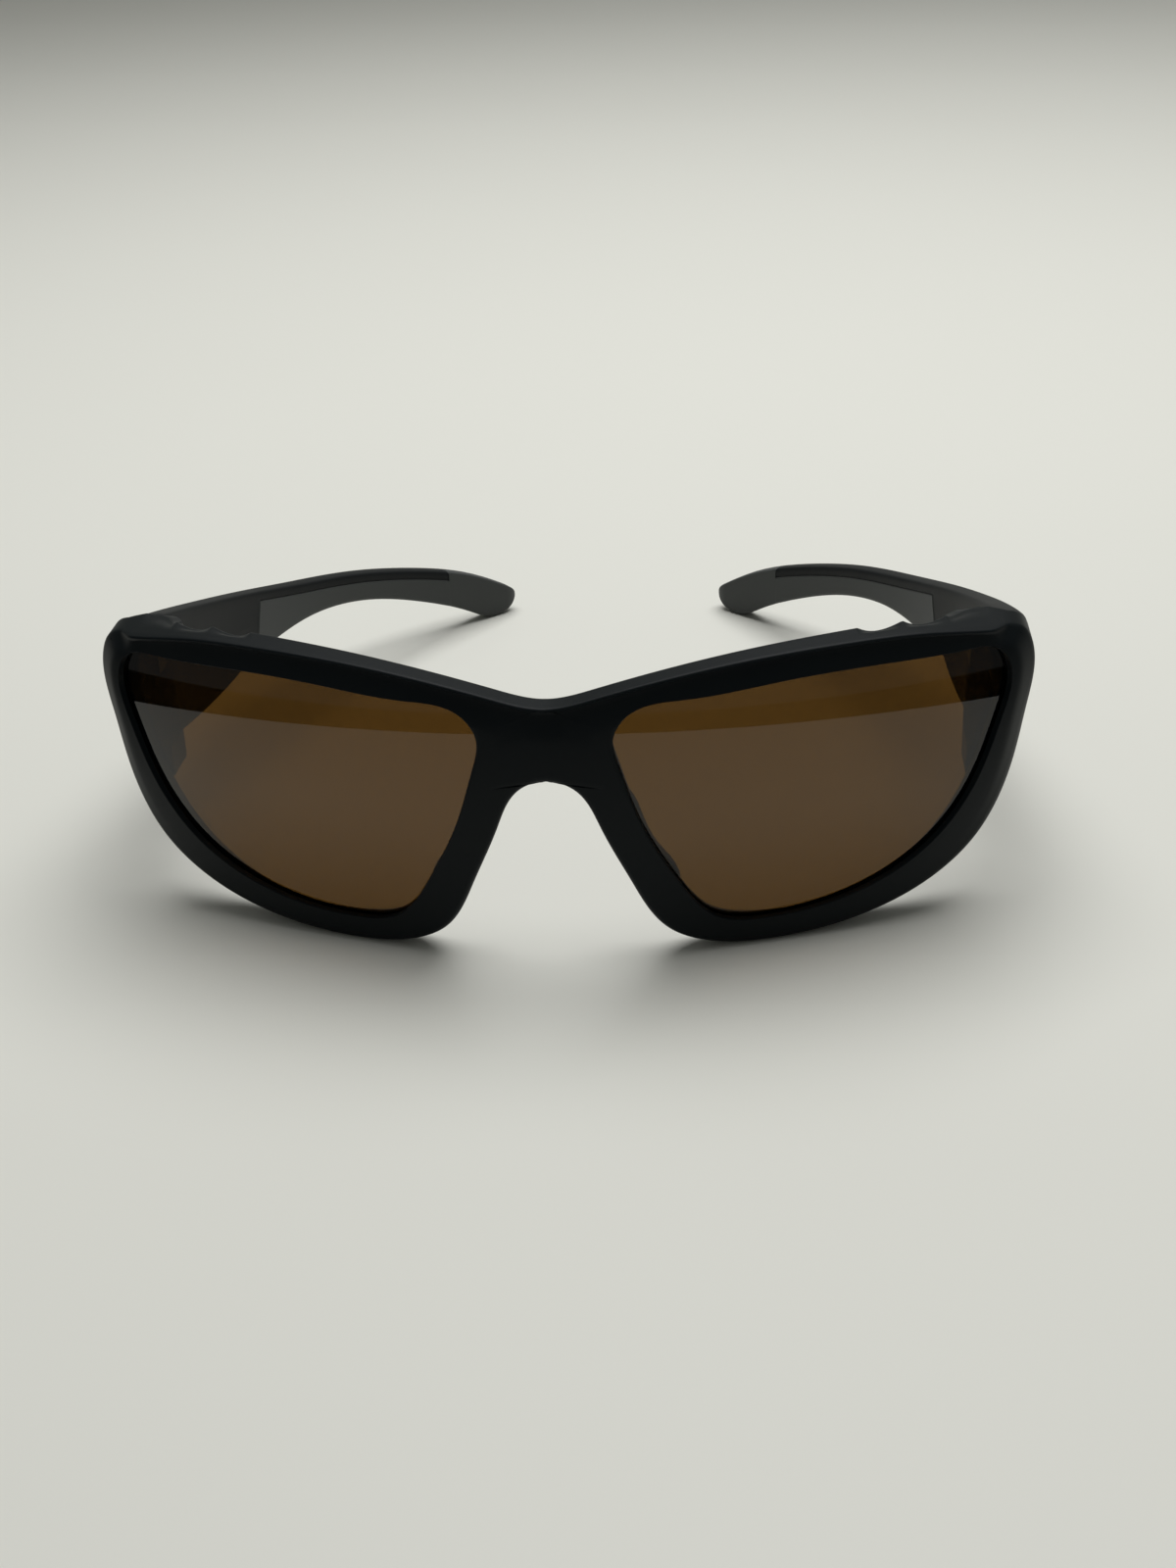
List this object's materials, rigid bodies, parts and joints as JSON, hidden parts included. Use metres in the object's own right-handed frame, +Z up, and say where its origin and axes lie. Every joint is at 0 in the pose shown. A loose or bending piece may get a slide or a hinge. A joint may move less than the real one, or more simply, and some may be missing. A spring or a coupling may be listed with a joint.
{
  "type": "wraparound sport sunglasses",
  "caption": "Wraparound sunglasses with a one-piece black nylon front, brown tinted lenses, soft nose pads and folding temples with rubber grips.",
  "frame": {"origin": "bottom centre of the box round the open glasses, on the surface that they stand on", "axes": "+X to the wearer's left, +Y from the lenses back along the temples, +Z up"},
  "size_m": [0.14, 0.1391, 0.047],
  "materials": {
    "frame_black": "matte injection-moulded nylon",
    "temple_black": "matte injection-moulded nylon",
    "brown_lens": "glossy brown tinted polycarbonate",
    "grip_rubber": "soft-touch dark grey rubber",
    "pad_rubber": "soft dark rubber",
    "screw_steel": "blackened steel",
    "insert_brass": "plain turned brass"
  },
  "bodies": {
    "front": {"front_frame": "frame_black", "lens_left": "brown_lens", "nose_pad_left": "pad_rubber", "hinge_screw_left": "screw_steel", "hinge_insert_left": "insert_brass", "lens_right": "brown_lens", "nose_pad_right": "pad_rubber", "hinge_screw_right": "screw_steel", "hinge_insert_right": "insert_brass"},
    "temple_left": {"temple_left": "temple_black", "temple_grip_left": "grip_rubber"},
    "temple_right": {"temple_right": "temple_black", "temple_grip_right": "grip_rubber"}
  },
  "joints": [
    {"name": "left_temple_fold", "type": "hinge", "parent": "front", "child": "temple_left", "pos_m": [0.0628, -0.0386, 0.03], "axis": [0, 0, 1], "range_deg": [0, 72]},
    {"name": "right_temple_fold", "type": "hinge", "parent": "front", "child": "temple_right", "pos_m": [-0.0628, -0.0386, 0.03], "axis": [0, 0, -1], "range_deg": [0, 62]}
  ]
}
